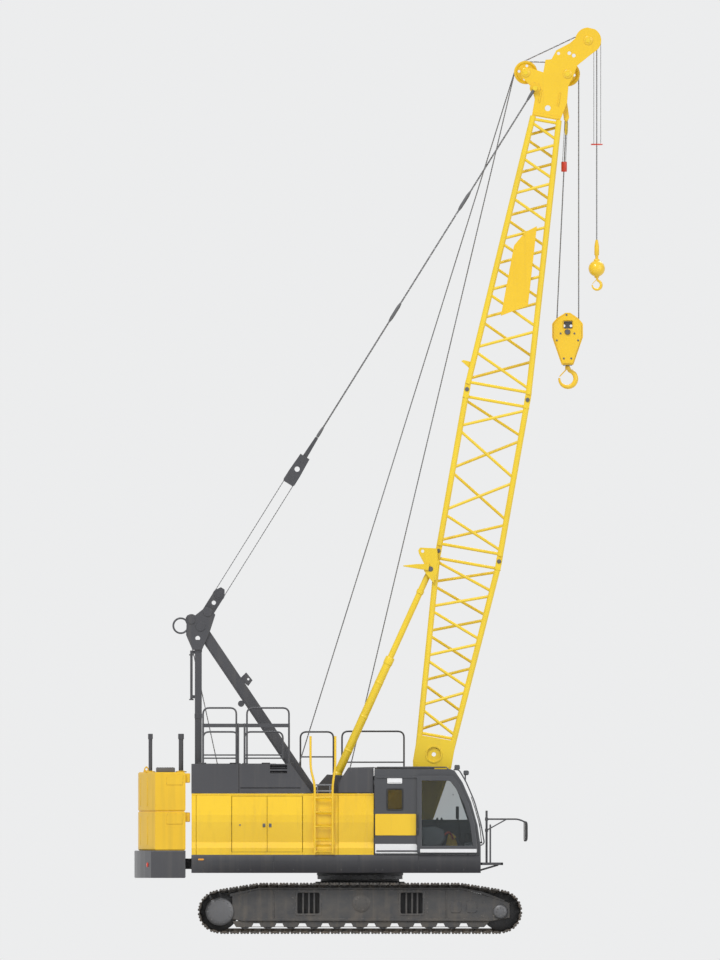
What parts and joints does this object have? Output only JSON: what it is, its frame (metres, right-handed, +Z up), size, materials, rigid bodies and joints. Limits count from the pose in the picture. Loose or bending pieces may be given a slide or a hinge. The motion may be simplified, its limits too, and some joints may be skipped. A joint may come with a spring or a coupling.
{
  "type": "lattice-boom crawler crane",
  "caption": "Lattice-boom crawler crane with a swinging upper, hinged house doors, sliding cab door, gantry, pendants, backstops, hook block and ball hook.",
  "frame": {"origin": "on the ground plane under the middle of the parked crane's bounding box", "axes": "+Z up, +X the way the boom leans and the cab looks, +Y towards the crane's left side"},
  "size_m": [8.8456, 4.955, 16.996],
  "materials": {
    "yellow_paint": "gloss paint, a little dusty",
    "dark_paint": "dark grey paint, satin",
    "grey_metal": "grey painted or bare castings",
    "rope_steel": "stranded wire rope, greased",
    "rail_paint": "light grey tube",
    "glass": "tinted safety glass",
    "seat_fabric": "dark woven cloth"
  },
  "bodies": {
    "crawler_base": {"right_track": "dark_paint", "left_track": "dark_paint", "right_side_frame": "dark_paint", "left_side_frame": "dark_paint", "carbody": "dark_paint", "slew_ring": "grey_metal"},
    "upper": {"revolving_frame": "dark_paint", "rear_hoist_drum": "grey_metal", "front_hoist_drum": "grey_metal", "boom_hoist_drum": "grey_metal", "right_house": "yellow_paint", "left_house": "yellow_paint", "right_rear_cover": "dark_paint", "right_front_cover": "dark_paint", "left_rear_cover": "dark_paint", "left_front_cover": "dark_paint", "engine": "grey_metal", "counterweight_base": "dark_paint", "counterweight_lower": "yellow_paint", "counterweight_upper": "yellow_paint", "gantry_struts": "dark_paint", "gantry_posts": "dark_paint", "gantry_head": "dark_paint", "cab": "dark_paint", "cab_front_glass": "glass", "cab_side_glass": "glass", "operator_seat": "seat_fabric", "ladder": "yellow_paint", "mirror_stay": "dark_paint", "right_handrail": "rail_paint", "left_handrail": "rail_paint"},
    "right_door_1": {"right_door_1": "yellow_paint"},
    "right_door_2": {"right_door_2": "yellow_paint"},
    "left_door_1": {"left_door_1": "yellow_paint"},
    "left_door_2": {"left_door_2": "yellow_paint"},
    "cab_door": {"cab_door": "dark_paint", "cab_door_glass": "glass"},
    "boom": {"boom_base": "yellow_paint", "boom_insert": "yellow_paint", "boom_top": "yellow_paint", "boom_head": "yellow_paint", "head_sheaves": "yellow_paint", "guide_sheaves": "yellow_paint", "tip_sheave": "yellow_paint"},
    "stay_swing": {"peak_block": "dark_paint"},
    "stays": {"spreader": "dark_paint", "right_pendant": "rope_steel", "left_pendant": "rope_steel"},
    "backstop_tubes": {"backstop_tubes": "yellow_paint"},
    "backstop_rods": {"backstop_rods_inner": "yellow_paint"},
    "main_line": {"right_main_fall": "rope_steel", "left_main_fall": "rope_steel"},
    "main_block": {"hook_block": "yellow_paint", "block_sheaves": "grey_metal"},
    "main_hook": {"main_hook": "yellow_paint"},
    "tip_line": {"tip_rope": "rope_steel"},
    "ball": {"ball_hook": "yellow_paint"}
  },
  "joints": [
    {"name": "swing", "type": "hinge", "parent": "crawler_base", "child": "upper", "pos_m": [-0.18285, 0, 0], "axis": [0, 0, 1], "continuous": true},
    {"name": "boom_luff", "type": "hinge", "parent": "upper", "child": "boom", "pos_m": [0.92115, 0, 1.767], "axis": [0, 1, 0], "range_deg": [0, 50]},
    {"name": "stay_swing", "type": "hinge", "parent": "upper", "child": "stay_swing", "pos_m": [-3.04285, 0, 6.05], "axis": [0, 1, 0], "range_deg": [0, 48]},
    {"name": "stay_travel", "type": "slide", "parent": "stay_swing", "child": "stays", "axis": [0.5295, 0, 0.8483], "range_m": [0, 5]},
    {"name": "backstop_swing", "type": "hinge", "parent": "upper", "child": "backstop_tubes", "pos_m": [-0.66285, 0, 2.88], "axis": [0, 1, 0], "range_deg": [0, 48]},
    {"name": "backstop_travel", "type": "slide", "parent": "backstop_tubes", "child": "backstop_rods", "axis": [0.4131, 0, 0.9107], "range_m": [0, 1.7]},
    {"name": "main_line_plumb", "type": "hinge", "parent": "boom", "child": "main_line", "pos_m": [3.71837, 0, 16.16805], "axis": [0, 1, 0], "range_deg": [-51, 0]},
    {"name": "main_hoist", "type": "slide", "parent": "main_line", "child": "main_block", "axis": [0, 0, 1], "range_m": [-2.5, 0.6], "deforming": ["right_main_fall", "left_main_fall"]},
    {"name": "main_hook_swivel", "type": "hinge", "parent": "main_block", "child": "main_hook", "pos_m": [3.71837, 0, 10.7], "axis": [0, 0, 1], "continuous": true},
    {"name": "tip_line_plumb", "type": "hinge", "parent": "boom", "child": "tip_line", "pos_m": [4.10785, 0, 16.79901], "axis": [0, 1, 0], "range_deg": [-51, 0]},
    {"name": "aux_hoist", "type": "slide", "parent": "tip_line", "child": "ball", "axis": [0, 0, 1], "range_m": [-3.5, 0.8], "deforming": ["tip_rope"]},
    {"name": "cab_door_slide", "type": "slide", "parent": "upper", "child": "cab_door", "axis": [-1, 0, 0], "range_m": [0, 0.75]},
    {"name": "right_door_1_hinge", "type": "hinge", "parent": "upper", "child": "right_door_1", "pos_m": [-2.58985, -1.6, 0], "axis": [0, 0, -1], "range_deg": [0, 100]},
    {"name": "right_door_2_hinge", "type": "hinge", "parent": "upper", "child": "right_door_2", "pos_m": [-1.26785, -1.6, 0], "axis": [0, 0, 1], "range_deg": [0, 100]},
    {"name": "left_door_1_hinge", "type": "hinge", "parent": "upper", "child": "left_door_1", "pos_m": [-2.58985, 1.6, 0], "axis": [0, 0, 1], "range_deg": [0, 100]},
    {"name": "left_door_2_hinge", "type": "hinge", "parent": "upper", "child": "left_door_2", "pos_m": [-1.26785, 1.6, 0], "axis": [0, 0, -1], "range_deg": [0, 100]}
  ],
  "couplings": [
    {"joint": "stay_swing", "follows": "boom_luff", "ratio": 0.94193},
    {"joint": "stay_travel", "follows": "boom_luff", "m_per_rad": 5.595},
    {"joint": "backstop_swing", "follows": "boom_luff", "ratio": 0.92236},
    {"joint": "backstop_travel", "follows": "boom_luff", "m_per_rad": 1.8327},
    {"joint": "main_line_plumb", "follows": "boom_luff", "ratio": -1},
    {"joint": "tip_line_plumb", "follows": "boom_luff", "ratio": -1}
  ]
}
